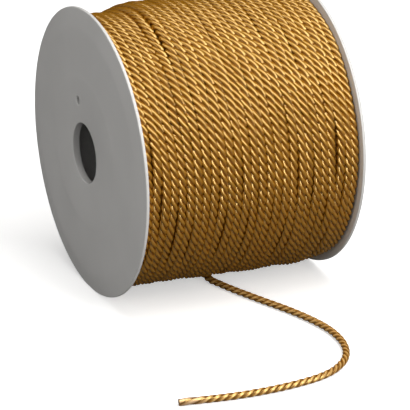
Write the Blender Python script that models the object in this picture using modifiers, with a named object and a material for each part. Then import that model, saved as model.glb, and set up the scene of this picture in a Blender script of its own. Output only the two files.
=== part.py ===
"""Satin cord on a spool: three-strand twisted cord, 3 mm thick, wound on a flanged plastic spool.

The spool lies on its side, its axis along X, and stands on a small flat spot at the foot of
each flange. The origin is on the floor under the middle of the spool, with +Z up. The cord's
cut end comes off the underside of the winding and lies on the floor in front of it, at -Y.
Lengths are in millimetres until a mesh is made, and Blender's metres from there on.
"""

import math

import bmesh
import bpy
from mathutils import Vector

MM = 0.001

# Driving dimensions of the cord
CORD_DIAMETER = 3.0
STRANDS = 3
TURNS_ACROSS = 27

# The loose end is free of the winding's pull and press, so it draws in and twists tighter
LOOSE_END_DIAMETER = 2.7
LOOSE_END_LAY = 9.2

# Radius of a strand as a share of the cord's radius, the strands pressed together
STRAND_SHARE = 0.6

# Driving dimensions of the spool
FLANGE_RADIUS = 55.0
INSIDE_WIDTH = 86.0
HUB_THICKNESS = 2.8
RIM_THICKNESS = 1.2
BORE_RADIUS = 11.5
BARREL_RADIUS = 30.0
BARREL_WALL = 2.0
DRIVER_HOLE_RADIUS = 1.6
DRIVER_HOLE_FROM_AXIS = 20.0
DRIVER_HOLE_ANGLE = math.radians(73.0)
FOOT_LENGTH = 12.0

# Gap kept between pieces that touch on the real spool
GAP = 0.3

# How finely round shapes are cut
FLANGE_SEGMENTS = 72
BARREL_SEGMENTS = 48
WINDING_SEGMENTS = 48
HOLE_SEGMENTS = 16
CORD_STEPS_PER_LAY = 9
LOBE_SIDES = 4

# Sizes that follow from the driving ones
LOOSE_END_RADIUS = LOOSE_END_DIAMETER / 2
AXIS_HEIGHT = math.sqrt(FLANGE_RADIUS**2 - (FOOT_LENGTH / 2) ** 2)
INNER_FACE = INSIDE_WIDTH / 2
BARREL_END = INNER_FACE - GAP
WINDING_END = INNER_FACE - GAP
WINDING_INNER_RADIUS = BARREL_RADIUS + GAP
TURN_PITCH = 2 * WINDING_END / TURNS_ACROSS
FIRST_TURN = -WINDING_END + TURN_PITCH / 2
GROOVE_DEPTH = 0.3 * CORD_DIAMETER

# Half section of a flange: radius from the axis, height above the flange's inner face
FLANGE_SECTION = (
    (BORE_RADIUS, 0.0),
    (BORE_RADIUS, HUB_THICKNESS - 0.4),
    (BORE_RADIUS + 0.4, HUB_THICKNESS),
    (BARREL_RADIUS, HUB_THICKNESS),
    (BARREL_RADIUS + 2.4, HUB_THICKNESS - 0.45),
    (0.86 * FLANGE_RADIUS, HUB_THICKNESS - 0.7),
    (FLANGE_RADIUS - 1.0, RIM_THICKNESS + 0.1),
    (FLANGE_RADIUS - 0.3, RIM_THICKNESS),
    (FLANGE_RADIUS, RIM_THICKNESS - 0.3),
    (FLANGE_RADIUS, 0.3),
    (FLANGE_RADIUS - 0.3, 0.0),
)

# The uneven wound form: place along the axis, radius over the top, radius on the underside,
# where the outer turns hang a little loose. The front and back lie between the two.
WOUND_FORM = (
    (-43.0, 50.9, 51.4),
    (-40.0, 51.4, 52.0),
    (-34.0, 51.6, 52.2),
    (-28.0, 51.6, 52.3),
    (-24.5, 52.7, 52.4),
    (-21.0, 53.6, 52.4),
    (-13.0, 53.7, 52.8),
    (-5.0, 53.6, 53.3),
    (4.0, 53.5, 53.6),
    (11.0, 53.4, 53.8),
    (17.0, 53.6, 54.2),
    (22.0, 53.3, 53.8),
    (30.0, 53.3, 54.3),
    (36.0, 52.8, 54.0),
    (40.0, 52.2, 53.2),
    (43.0, 51.4, 52.2),
)

# Route of the loose end over the floor, from the underside of the winding to the cut: x, y
LOOSE_END_ROUTE = (
    (-0.9, -15.7),
    (0.4, -20.0),
    (1.9, -24.6),
    (4.0, -30.3),
    (6.3, -36.0),
    (8.6, -41.7),
    (11.0, -47.3),
    (13.4, -53.1),
    (15.6, -59.2),
    (17.6, -66.0),
    (19.1, -73.2),
    (19.5, -80.4),
    (18.7, -88.0),
    (16.5, -95.0),
    (13.1, -100.8),
    (8.6, -105.4),
    (3.2, -109.0),
    (-3.0, -111.3),
    (-10.0, -112.6),
    (-17.6, -113.3),
    (-25.4, -113.5),
    (-33.2, -113.1),
    (-41.0, -112.2),
    (-48.5, -110.9),
    (-56.0, -109.5),
)

# Colours: linear red, green, blue, then roughness
PLASTIC = ("spool_plastic", (0.62, 0.62, 0.61), 0.45)
GOLD = ("gold_satin", (0.48, 0.25, 0.035), 0.42)


def clear_scene():
    for thing in list(bpy.data.objects):
        bpy.data.objects.remove(thing, do_unlink=True)


def new_collection(name, hidden=False):
    collection = bpy.data.collections.new(name)
    bpy.context.scene.collection.children.link(collection)
    collection.hide_render = hidden
    return collection


def material(name, color, roughness):
    made = bpy.data.materials.new(name)
    made.use_nodes = True
    shader = made.node_tree.nodes["Principled BSDF"]
    shader.inputs["Base Color"].default_value = (*color, 1.0)
    shader.inputs["Roughness"].default_value = roughness
    shader.inputs["Metallic"].default_value = 0.0
    return made


def turned(name, section, segments, collection, finish):
    """A closed section of (radius, x) points in millimetres, turned about the X axis."""
    mesh = bpy.data.meshes.new(name)
    points = [(x * MM, 0.0, radius * MM) for radius, x in section]
    count = len(points)
    mesh.from_pydata(points, [(i, (i + 1) % count) for i in range(count)], [])
    piece = bpy.data.objects.new(name, mesh)
    piece.data.materials.append(finish)
    collection.objects.link(piece)
    turn = piece.modifiers.new("turn", "SCREW")
    turn.axis = "X"
    turn.angle = math.tau
    turn.steps = segments
    turn.render_steps = segments
    turn.use_merge_vertices = True
    turn.merge_threshold = 0.00001
    return piece


def frozen(piece):
    """Replaces the piece's mesh by its evaluated one and drops its modifiers."""
    graph = bpy.context.evaluated_depsgraph_get()
    result = bpy.data.meshes.new_from_object(piece.evaluated_get(graph))
    piece.modifiers.clear()
    piece.data = result
    shape = bmesh.new()
    shape.from_mesh(result)
    bmesh.ops.recalc_face_normals(shape, faces=shape.faces)
    shape.to_mesh(result)
    shape.free()
    return piece


def cut(piece, cutter):
    """Takes the cutter's shape out of the piece."""
    step = piece.modifiers.new("cut_" + cutter.name, "BOOLEAN")
    step.operation = "DIFFERENCE"
    step.solver = "EXACT"
    step.object = cutter


def as_cutter(thing, name, cutters):
    thing.name = name
    for owner in list(thing.users_collection):
        owner.objects.unlink(thing)
    cutters.objects.link(thing)
    thing.hide_render = True
    thing.display_type = "WIRE"
    return thing


def floor_cutter(cutters):
    """A block whose top face is the floor, for the flat spot at a flange's foot."""
    bpy.ops.mesh.primitive_cube_add(size=1.0, location=(0.0, 0.0, -5 * MM))
    block = bpy.context.object
    block.scale = (4 * INNER_FACE * MM, FLANGE_RADIUS * MM, 10 * MM)
    return as_cutter(block, "floor_block", cutters)


def driver_hole_cutter(cutters):
    """A rod for the driver hole of both flanges, beside the bore."""
    bpy.ops.mesh.primitive_cylinder_add(
        vertices=HOLE_SEGMENTS,
        radius=DRIVER_HOLE_RADIUS * MM,
        depth=4 * INNER_FACE * MM,
        location=(
            0.0,
            DRIVER_HOLE_FROM_AXIS * math.cos(DRIVER_HOLE_ANGLE) * MM,
            (AXIS_HEIGHT + DRIVER_HOLE_FROM_AXIS * math.sin(DRIVER_HOLE_ANGLE)) * MM,
        ),
        rotation=(0.0, math.pi / 2, 0.0),
    )
    return as_cutter(bpy.context.object, "driver_rod", cutters)


def make_flange(name, side, collection, cutters, finish):
    """One flange: side is -1 at the left, where -X is, and 1 at the right."""
    section = [(radius, side * (INNER_FACE + height)) for radius, height in FLANGE_SECTION]
    flange = frozen(turned(name, section, FLANGE_SEGMENTS, collection, finish))
    flange.location.z = AXIS_HEIGHT * MM
    for cutter in cutters:
        cut(flange, cutter)
    return flange


def make_barrel(collection, finish):
    """The hollow barrel that the cord is wound on, between the flanges."""
    inner = BARREL_RADIUS - BARREL_WALL
    section = [
        (inner, -BARREL_END),
        (BARREL_RADIUS, -BARREL_END),
        (BARREL_RADIUS, BARREL_END),
        (inner, BARREL_END),
    ]
    barrel = frozen(turned("barrel", section, BARREL_SEGMENTS, collection, finish))
    barrel.location.z = AXIS_HEIGHT * MM
    return barrel


def between(rows, x, column):
    """The value of a column of WOUND_FORM at x, eased from row to row."""
    x = min(max(x, rows[0][0]), rows[-1][0])
    for low, high in zip(rows, rows[1:]):
        if x <= high[0]:
            part = (x - low[0]) / (high[0] - low[0])
            part = part * part * (3 - 2 * part)
            return low[column] + part * (high[column] - low[column])
    return rows[-1][column]


def wound_radius(x, angle):
    """Radius over the crowns of the turns; angle is 0 over the top and pi underneath."""
    underside = (1 - math.cos(angle)) / 2
    top = between(WOUND_FORM, x, 1)
    bottom = between(WOUND_FORM, x, 2)
    return top + underside * (bottom - top)


def winding_section():
    """A ridge for each turn across the spool, as (radius below the crowns, x) points."""
    outside = [(GROOVE_DEPTH, -WINDING_END)]
    for turn in range(TURNS_ACROSS):
        crown = FIRST_TURN + turn * TURN_PITCH
        outside.append((0.0, crown))
        outside.append((GROOVE_DEPTH, crown + TURN_PITCH / 2))
    return outside


def make_winding(collection, finish):
    """The whole winding as one ring with its uneven form and a ridge for each turn."""
    mean_radius = (wound_radius(0.0, 0.0) + wound_radius(0.0, math.pi)) / 2
    outside = [(mean_radius - depth, x) for depth, x in winding_section()]
    inside = [(WINDING_INNER_RADIUS, WINDING_END), (WINDING_INNER_RADIUS, -WINDING_END)]
    winding = turned("winding", outside + inside, WINDING_SEGMENTS, collection, finish)
    winding = frozen(winding)
    halfway = (WINDING_INNER_RADIUS + mean_radius) / 2
    for point in winding.data.vertices:
        x = point.co.x / MM
        radius = math.hypot(point.co.y, point.co.z) / MM
        if radius < halfway:
            continue
        angle = math.atan2(point.co.y, point.co.z)
        change = (wound_radius(x, angle) + radius - mean_radius) / radius
        point.co.y *= change
        point.co.z *= change
    winding.location.z = AXIS_HEIGHT * MM
    return winding


def lobe_radius(angle):
    """Radius of the cord's section: equal round strands laid side by side round its axis."""
    share = math.tau / STRANDS
    strand_radius = STRAND_SHARE * LOOSE_END_RADIUS
    off_axis = LOOSE_END_RADIUS - strand_radius
    turn = (angle + share / 2) % share - share / 2
    reach = off_axis * math.sin(turn)
    return off_axis * math.cos(turn) + math.sqrt(strand_radius**2 - reach**2)


def smooth_route(points, step):
    """Points a step apart along a smooth curve that passes through the given ones."""
    ends = [points[0] * 2 - points[1]] + points + [points[-1] * 2 - points[-2]]
    fine = []
    for before, start, end, after in zip(ends, ends[1:], ends[2:], ends[3:]):
        for part in range(40):
            t = part / 40
            fine.append(
                0.5
                * (
                    2 * start
                    + (end - before) * t
                    + (2 * before - 5 * start + 4 * end - after) * t**2
                    + (3 * start - before - 3 * end + after) * t**3
                )
            )
    fine.append(points[-1])
    runs = [0.0]
    for start, end in zip(fine, fine[1:]):
        runs.append(runs[-1] + (end - start).length)
    count = round(runs[-1] / step)
    route = []
    place = 0
    for number in range(count + 1):
        target = runs[-1] * number / count
        while place < len(runs) - 2 and runs[place + 1] < target:
            place += 1
        part = (target - runs[place]) / (runs[place + 1] - runs[place])
        route.append(fine[place].lerp(fine[place + 1], part))
    return route


def closed_outline(name, points, cutters):
    """A closed flat curve through the points, used as the section of a swept cord."""
    outline = bpy.data.curves.new(name, "CURVE")
    outline.dimensions = "2D"
    spline = outline.splines.new("POLY")
    spline.points.add(len(points) - 1)
    for point, (x, y) in zip(spline.points, points):
        point.co = (x * MM, y * MM, 0.0, 1.0)
    spline.use_cyclic_u = True
    return as_cutter(bpy.data.objects.new(name, outline), name, cutters)


def make_loose_end(collection, cutters, finish):
    """The cord's loose end as one twisted solid, its strands laid to the left."""
    sides = STRANDS * LOBE_SIDES
    angles = [math.tau * (side + 0.5) / sides for side in range(sides)]
    ring = [(lobe_radius(a) * math.cos(a), lobe_radius(a) * math.sin(a)) for a in angles]
    section = closed_outline("cord_section", ring, cutters)
    route = [Vector((x, y, LOOSE_END_RADIUS)) for x, y in LOOSE_END_ROUTE]
    step = LOOSE_END_LAY / CORD_STEPS_PER_LAY
    path = bpy.data.curves.new("loose_end", "CURVE")
    path.dimensions = "3D"
    path.bevel_mode = "OBJECT"
    path.bevel_object = section
    path.use_fill_caps = True
    spline = path.splines.new("POLY")
    places = smooth_route(route, step)
    spline.points.add(len(places) - 1)
    for number, (point, place) in enumerate(zip(spline.points, places)):
        point.co = (*(place * MM), 1.0)
        point.tilt = -math.tau * number / CORD_STEPS_PER_LAY
    cord = bpy.data.objects.new("loose_end_path", path)
    collection.objects.link(cord)
    graph = bpy.context.evaluated_depsgraph_get()
    mesh = bpy.data.meshes.new_from_object(cord.evaluated_get(graph))
    shape = bmesh.new()
    shape.from_mesh(mesh)
    bmesh.ops.remove_doubles(shape, verts=shape.verts, dist=0.00001)
    bmesh.ops.recalc_face_normals(shape, faces=shape.faces)
    shape.to_mesh(mesh)
    shape.free()
    bpy.data.objects.remove(cord, do_unlink=True)
    mesh.materials.clear()
    mesh.materials.append(finish)
    loose_end = bpy.data.objects.new("loose_end", mesh)
    collection.objects.link(loose_end)
    return loose_end


def main():
    clear_scene()
    parts = new_collection("satin_cord_spool")
    cutters = new_collection("cutters", hidden=True)
    plastic = material(*PLASTIC)
    gold = material(*GOLD)
    tools = (floor_cutter(cutters), driver_hole_cutter(cutters))
    made = [
        make_flange("flange_left", -1, parts, tools, plastic),
        make_flange("flange_right", 1, parts, tools, plastic),
        make_barrel(parts, plastic),
        make_winding(parts, gold),
        make_loose_end(parts, cutters, gold),
    ]
    for piece in made:
        piece.data.shade_smooth()
        piece.data.set_sharp_from_angle(angle=math.radians(35))


main()
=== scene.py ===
"""Satin cord on its spool: the looks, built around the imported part.

Everything is in metres in the part's own frame, and the tables of places are in millimetres.
The spool's axis runs along X, +Z is up, the origin is on the floor under the middle of the
spool, and the loose end lies in front, at -Y. An angle round the spool is 0 over the top, a
quarter turn at the front and half a turn below.
"""

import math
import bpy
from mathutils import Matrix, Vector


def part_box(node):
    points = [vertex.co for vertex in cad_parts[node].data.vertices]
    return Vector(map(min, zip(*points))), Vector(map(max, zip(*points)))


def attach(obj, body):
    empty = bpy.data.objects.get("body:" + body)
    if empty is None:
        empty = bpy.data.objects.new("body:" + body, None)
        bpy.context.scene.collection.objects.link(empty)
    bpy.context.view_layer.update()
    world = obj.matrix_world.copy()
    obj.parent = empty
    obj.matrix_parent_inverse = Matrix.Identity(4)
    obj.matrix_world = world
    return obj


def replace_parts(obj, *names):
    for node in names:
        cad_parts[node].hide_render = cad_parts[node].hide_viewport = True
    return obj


bl_info = {
    "name": "Satin Cord on a Spool",
    "version": (1, 0, 0),
    "blender": (4, 5, 0),
    "location": "View3D > Sidebar > Satin Cord",
    "description": "Builds a twisted satin cord wound on a flanged spool, with its loose end",
    "category": "Object",
}

from functools import partial

import bmesh
import bpy
import numpy as np
from bpy.props import FloatProperty, FloatVectorProperty, IntProperty, PointerProperty
from mathutils import Matrix, Vector

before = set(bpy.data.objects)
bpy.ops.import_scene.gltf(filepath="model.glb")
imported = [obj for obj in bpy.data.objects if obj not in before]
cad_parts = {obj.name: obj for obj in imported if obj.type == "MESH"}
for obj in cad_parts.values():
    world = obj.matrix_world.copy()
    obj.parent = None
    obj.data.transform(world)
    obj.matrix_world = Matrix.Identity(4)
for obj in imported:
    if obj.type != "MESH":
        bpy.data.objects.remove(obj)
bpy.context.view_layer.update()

MM = 0.001
BODY = "root"

# Sizes of the spool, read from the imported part
FLANGE_LOW, FLANGE_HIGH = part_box("flange_right")
BARREL_LOW, BARREL_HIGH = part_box("barrel")
FLANGE_RADIUS = (FLANGE_HIGH.y - FLANGE_LOW.y) / 2
AXIS_HEIGHT = FLANGE_HIGH.z - FLANGE_RADIUS
INNER_FACE = FLANGE_LOW.x
HUB_THICKNESS = FLANGE_HIGH.x - FLANGE_LOW.x
BARREL_RADIUS = (BARREL_HIGH.y - BARREL_LOW.y) / 2
BARREL_END = BARREL_HIGH.x
WINDING_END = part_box("winding")[1].x

# The uneven wound form: place along the axis, radius over the top, radius on the underside
WOUND_FORM = (
    (-43.0, 50.9, 51.4),
    (-40.0, 51.4, 52.0),
    (-34.0, 51.6, 52.2),
    (-28.0, 51.6, 52.3),
    (-24.5, 52.7, 52.4),
    (-21.0, 53.6, 52.4),
    (-13.0, 53.7, 52.8),
    (-5.0, 53.6, 53.3),
    (4.0, 53.5, 53.6),
    (11.0, 53.4, 53.8),
    (17.0, 53.6, 54.2),
    (22.0, 53.3, 53.8),
    (30.0, 53.3, 54.3),
    (36.0, 52.8, 54.0),
    (40.0, 52.2, 53.2),
    (43.0, 51.4, 52.2),
)

# Partings between turns: place along the axis, angle round the spool, half their angle, width
PARTINGS = (
    (-22.6, 20.0, 50.0, 0.4),
    (-30.0, 118.0, 34.0, 0.5),
    (-14.0, 150.0, 45.0, 0.7),
    (0.4, 105.0, 45.0, 0.5),
    (16.4, 112.0, 40.0, 0.6),
    (25.0, 330.0, 60.0, 0.6),
    (34.2, 80.0, 45.0, 0.5),
    (-8.0, 260.0, 50.0, 0.8),
)
PARTING_FADE = 7.0 * MM

# Route of the loose end over the floor, from the underside of the winding to the cut: x, y
LOOSE_END_ROUTE = (
    (-0.9, -15.7),
    (0.4, -20.0),
    (1.9, -24.6),
    (4.0, -30.3),
    (6.3, -36.0),
    (8.6, -41.7),
    (11.0, -47.3),
    (13.4, -53.1),
    (15.6, -59.2),
    (17.6, -66.0),
    (19.1, -73.2),
    (19.5, -80.4),
    (18.7, -88.0),
    (16.5, -95.0),
    (13.1, -100.8),
    (8.6, -105.4),
    (3.2, -109.0),
    (-3.0, -111.3),
    (-10.0, -112.6),
    (-17.6, -113.3),
    (-25.4, -113.5),
    (-33.2, -113.1),
    (-41.0, -112.2),
    (-48.5, -110.9),
    (-56.0, -109.5),
)

# The stretch that drops from the last turn to the floor, under the winding: x, y, z
DROP_ROUTE = (
    (-1.6, -5.2, 2.52),
    (-1.35, -10.4, 1.88),
)

# Half section of a flange: radius from the axis, height above its inner face, edge rounding
FLANGE_SECTION = (
    (11.5, 0.0, 0.25),
    (11.5, 2.8, 0.35),
    (28.6, 2.8, 1.0),
    (30.6, 2.62, 1.0),
    (47.3, 2.2, 1.5),
    (54.2, 1.3, 0.5),
    (55.0, 1.15, 0.4),
    (55.0, 0.0, 0.35),
)

# How finely the pieces are cut
RINGS_PER_TURN = 384
SIDES_PER_STRAND = 8
UNDER_RINGS_PER_TURN = 180
UNDER_SIDES_PER_STRAND = 4
LOOSE_SIDES_PER_STRAND = 10
LOOSE_RINGS_PER_LAY = 18
FLANGE_SEGMENTS = 256
BARREL_SEGMENTS = 128
HOLE_SEGMENTS = 40
ROUNDING_STEPS = 4
ROUTE_PARTS = 40
MERGE_DISTANCE = 0.002 * MM
TURNED_MERGE = 0.001 * MM
CUT_TOLERANCE = 0.0001 * MM
CORD_CREASE = math.radians(48.0)
SPOOL_CREASE = math.radians(32.0)

# The flare of the small holes, and the most of an edge that the rounding of a corner takes
HOLE_FLARE = 0.35 * MM
LARGEST_TRIM = 0.45

# How the top layer is wound, in two stretches that meet where the loose end leaves
EXIT_SLOT = 12
DIVE_AFTER = EXIT_SLOT + 0.5
CROSSING_END = math.radians(190.0)
CROSSING_SPAN = math.radians(140.0)
LEAD_IN = math.radians(100.0)
LEAVING = math.radians(180.0)
CALM_TURNS = 0.12
PUSH_HOLD = math.radians(22.0)
PUSH_FADE = math.radians(65.0)
CLOSEST = 0.93
LEAST_APART = 0.01 * MM
RELAXING_ROUNDS = 14
SMOOTHING_RINGS = 11
FLOOR_CLEARANCE = 0.12 * MM

# How unevenly the cord is wound and spun
NESTING_STEP = 0.083
LAY_WANDER = 0.12
WANDER_WAVES = 14
MOST_WAVES_AROUND = 9
WAVES_ACROSS = (0.3, 3.0)
GIRTH_WAVES = (21.0 * MM, 34.0 * MM, 55.0 * MM, 13.0 * MM)
GIRTH_SPREAD = 0.009

# How far the turns are pressed, by the cosine of their angle from the top of the spool
PRESSED_FULLY = 0.85
PRESS_FADE = 1.1
PRESSED_BELOW = 0.3

# How deep the lower layers lie, in cord diameters, and the core's gap to the barrel
UNDER_DEPTH = 0.87
CORE_DEPTH = 1.75
CORE_CLEARANCE = 0.3 * MM

# The loose end, which is rounder where nothing presses it and carries the painted crest highlight
# there, and its worn cut end
FREE_AFTER = 24.0 * MM
LOOSE_ROUNDED = 0.45
WORN_LENGTH = 11.0 * MM
WORN_FADE = 0.5 * WORN_LENGTH
WORN_ROUNDED = 0.5
WORN_TWIST = 0.5

# What a line of cord carries: its shape, which the cord's tree uses up, and its wear and the share
# of the painted crest highlight
LINE_SHAPE = ("laid", "run", "girth", "pressed", "rounded")
LINE_WEAR_AND_HIGHLIGHT = ("free", "worn")

# What the node trees take in, with each socket's kind
CORD_INPUTS = {
    "Guide": "Geometry",
    "Cord Diameter": "Float",
    "Strands": "Int",
    "Sides per Strand": "Int",
    "Strand Radius Share": "Float",
    "Pressed Wide": "Float",
    "Even Slant": "Float",
    "Crown Wide": "Float",
    "Finish": "Material",
}
FILAMENT_INPUTS = {
    "Map": "Vector",
    "Strands": "Float",
    "Filaments Round": "Float",
    "Slant": "Float",
    "Streaks per Metre": "Float",
}
PATCH_INPUTS = {"Patches per Metre": "Float", "Contrast": "Float"}

# Camera, fitted to the edges of the flanges in the photograph
CAMERA_PLACE = (-0.428485, -0.950805, 0.440542)
CAMERA_PITCH = math.radians(21.663)
CAMERA_YAW = math.radians(24.446)
CAMERA_LENS = 257.12
CAMERA_SENSOR = 36.0
CAMERA_REACH = 100.0

# The soft lights: name, place, size
STRIP_SIZE = (0.36, 1.4)
PANEL_SIZE = (0.8, 0.8)
LIGHTS = (
    ("top", (0.06, -0.1, 1.21), STRIP_SIZE),
    ("front", (0.3, -0.91, 0.75), STRIP_SIZE),
    ("low", (0.45, -1.1, 0.3), STRIP_SIZE),
    ("side", (-1.15, -0.3, 0.4), PANEL_SIZE),
    ("near", (-0.5, -1.05, 0.6), PANEL_SIZE),
)
LIGHT_COLOR = (1.0, 0.985, 0.96)

# The even light from all round, and the directions between which it changes
SKY_BELOW = (0.25, 0.25, 0.25, 1.0)
SKY_LEFT = (0.6, 0.59, 0.58, 1.0)
SKY_RIGHT = (1.0, 1.0, 1.0, 1.0)
SKY_RISE = (-0.06, 0.9)
SKY_ACROSS = (-0.6, 0.1)

# The floor, just under the object
FLOOR_SIZE = 30.0
FLOOR_LEVEL = -0.02 * MM

# What is the same all over a finish
GOLD_FINISH = {
    "Roughness": 0.25,
    "IOR": 2.2,
    "Specular IOR Level": 1.0,
    "Specular Tint": (1.0, 0.71, 0.29, 1.0),
    "Anisotropic": 0.6,
}
PLASTIC_FINISH = {"Roughness": 0.42, "IOR": 1.5}
FLOOR_FINISH = {"Roughness": 0.9}

# Fine relief: its depth, its strength on each finish and the plastic's grains per metre
RELIEF_DEPTH = 0.05 * MM
GOLD_RELIEF = 0.35
PLASTIC_RELIEF = 0.12
PLASTIC_GRAIN = 900.0

# Places of the colour sockets on a Mix node, whose names repeat
MIX_FACTOR, MIX_FIRST, MIX_SECOND = 0, 6, 7
MIX_COLOR = 2

# The filaments: how many lie round the cord, their slant and how often they change along it
FILAMENTS_ROUND = 84.0
FILAMENT_SLANT = 5200.0
STREAKS_PER_METRE = 260.0

# Colour over a strand, from 0 in the valley beside it to 1 on its crest, and its streaks. Painted
# shade darkens the valleys, and a painted highlight lightens the crests of the loose cord
VALLEY_SHADE_AND_WEAR_RANGE = (0.25, 0.95)
PAINTED_HIGHLIGHT_RANGE = (0.72, 0.97)
STREAK_RANGE = (0.3, 0.7)
STREAK_SHARE = 0.5
FINE_SHARE = 0.6
BROAD_SCALE = 0.22

# Uneven colour: patches per metre, and the colour in them as a share of the plain one
CORD_PATCHES = 60.0
SPOOL_PATCHES = 45.0
FLOOR_PATCHES = 3.0
PATCH_CONTRAST = 1.6
WARMER = (1.0, 0.82, 0.6)
WARM_SHARE = 0.35
AGED_PLASTIC = 0.93
AGED_FLOOR = 0.985

# What settings of one kind have in common
COLOR = {"subtype": "COLOR", "min": 0.0, "max": 1.0}
SHARE = {"subtype": "FACTOR", "min": 0.0, "max": 1.0}


class SatinCordSettings(bpy.types.PropertyGroup):
    """Sizes and colours of the cord."""

    diameter: FloatProperty(
        name="Cord Diameter",
        description="Thickness over the strands",
        default=3.0 * MM,
        min=1.0 * MM,
        unit="LENGTH",
    )
    strands: IntProperty(
        name="Strands",
        description="Strands laid round each other",
        default=3,
        min=2,
        max=5,
    )
    lay_length: FloatProperty(
        name="Lay Length",
        description="Length of cord in which a strand goes round once",
        default=10.2 * MM,
        min=3.0 * MM,
        unit="LENGTH",
    )
    loose_lay_length: FloatProperty(
        name="Loose Lay Length",
        description="Lay length where the cord isn't stretched by winding",
        default=9.2 * MM,
        min=3.0 * MM,
        unit="LENGTH",
    )
    loose_diameter: FloatProperty(
        name="Loose Diameter",
        description="Thickness over the strands where nothing presses the cord",
        default=2.7 * MM,
        min=1.0 * MM,
        unit="LENGTH",
    )
    strand_share: FloatProperty(
        name="Strand Share",
        description="Radius of a strand as a share of the cord's radius",
        default=0.525,
        min=0.5,
        max=0.9,
        subtype="FACTOR",
    )
    pressed_wide: FloatProperty(
        name="Pressed Wide",
        description="How much wider than thick a wound turn is pressed by its neighbours",
        default=1.52,
        min=1.0,
        max=2.0,
    )
    even_slant: FloatProperty(
        name="Even Slant",
        description="How evenly the strands slant across a pressed turn",
        default=0.4,
        **SHARE,
    )
    crown_wide: FloatProperty(
        name="Crown Wide",
        description="Width over thickness of the ellipse that a pressed turn's crown follows",
        default=1.9,
        min=1.6,
        max=6.0,
    )
    turns_across: IntProperty(
        name="Turns Across",
        description="Turns side by side between the flanges",
        default=27,
        min=2 * EXIT_SLOT,
    )
    sideways_wander: FloatProperty(
        name="Sideways Wander",
        description="How far a turn strays along the spool",
        default=0.2 * MM,
        unit="LENGTH",
    )
    height_wander: FloatProperty(
        name="Height Wander",
        description="How far a turn rides up or sinks in",
        default=0.16 * MM,
        unit="LENGTH",
    )
    light_gold: FloatVectorProperty(
        name="Light Gold",
        description="Colour of the filaments that catch the light",
        default=(0.375, 0.168, 0.006),
        **COLOR,
    )
    # Painted shade in the valleys between the strands; the same colour gives the dark of the
    # filaments' random streaks
    valley_shade_and_streak_gold: FloatVectorProperty(
        name="Deep Gold",
        description="Colour between the strands",
        default=(0.15, 0.042, 0.0),
        **COLOR,
    )
    # Painted highlight along the strands' crests on the loose cord
    painted_highlight_gold: FloatVectorProperty(
        name="Free Gold",
        description="Colour of the strands' crests where nothing presses the cord",
        default=(0.78, 0.47, 0.17),
        **COLOR,
    )
    worn_gold: FloatVectorProperty(
        name="Worn Gold",
        description="Colour of the rubbed strands at the cut end",
        default=(0.7, 0.46, 0.29),
        **COLOR,
    )
    seed: IntProperty(
        name="Seed",
        description="Start of the random wander of the turns",
        default=7,
    )


class SpoolSettings(bpy.types.PropertyGroup):
    """Sizes and colour of the spool."""

    driver_hole_radius: FloatProperty(
        name="Driver Hole Radius",
        description="Radius of the small hole beside the bore",
        default=1.6 * MM,
        unit="LENGTH",
    )
    driver_hole_distance: FloatProperty(
        name="Driver Hole Distance",
        description="From the spool's axis to the small hole",
        default=20.0 * MM,
        unit="LENGTH",
    )
    driver_hole_angle: FloatProperty(
        name="Driver Hole Angle",
        description="Angle of the small hole above the back of the spool",
        default=math.radians(73.0),
        subtype="ANGLE",
    )
    barrel_wall: FloatProperty(
        name="Barrel Wall",
        description="Thickness of the hollow barrel's wall",
        default=2.0 * MM,
        unit="LENGTH",
    )
    plastic_color: FloatVectorProperty(
        name="Plastic Colour",
        description="Colour of the spool",
        default=(0.74, 0.735, 0.725),
        **COLOR,
    )


class StageSettings(bpy.types.PropertyGroup):
    """Floor and light."""

    floor_color: FloatVectorProperty(
        name="Floor Colour",
        description="Colour of the plain floor",
        default=(0.9, 0.9, 0.9),
        **COLOR,
    )
    floor_return: FloatProperty(
        name="Floor Return",
        description="Share of the floor's light that reaches the object from below",
        default=0.17,
        **SHARE,
    )
    floor_glow: FloatProperty(
        name="Floor Glow",
        description="Light of the floor itself as the camera sees it, as on a lit table",
        default=0.55,
        min=0.0,
    )
    top_power: FloatProperty(
        name="Top Power",
        description="Strength of the long soft light overhead",
        default=8.2,
        unit="POWER",
    )
    front_power: FloatProperty(
        name="Front Power",
        description="Strength of the long soft light above the front",
        default=8.4,
        unit="POWER",
    )
    low_power: FloatProperty(
        name="Low Power",
        description="Strength of the long soft light low at the front",
        default=4.8,
        unit="POWER",
    )
    side_power: FloatProperty(
        name="Side Power",
        description="Strength of the soft light low at the left",
        default=3.6,
        unit="POWER",
    )
    near_power: FloatProperty(
        name="Near Power",
        description="Strength of the soft light beside the camera",
        default=0.9,
        unit="POWER",
    )
    sky_strength: FloatProperty(
        name="Sky Strength",
        description="Strength of the even light from all round, strongest overhead",
        default=0.22,
        min=0.0,
    )
    sky_gloss: FloatProperty(
        name="Sky Gloss",
        description="Share of the even light that shows in glossy surfaces",
        default=0.05,
        **SHARE,
    )


def scaled(rows):
    """Rows in millimetres, as an array in metres."""
    return np.array(rows) * MM


def eased(part):
    """0 to 1, starting and ending softly."""
    part = np.clip(part, 0.0, 1.0)
    return part * part * (3 - 2 * part)


def wound_radius(x, angle):
    """Radius over the crowns of the turns, at places along the axis and angles round it."""
    rows = scaled(WOUND_FORM)
    x = np.clip(x, rows[0, 0], rows[-1, 0])
    high = np.clip(np.searchsorted(rows[:, 0], x), 1, len(rows) - 1)
    low = high - 1
    part = eased((x - rows[low, 0]) / (rows[high, 0] - rows[low, 0]))
    top = rows[low, 1] + part * (rows[high, 1] - rows[low, 1])
    bottom = rows[low, 2] + part * (rows[high, 2] - rows[low, 2])
    return top + (1 - np.cos(angle)) / 2 * (bottom - top)


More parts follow.
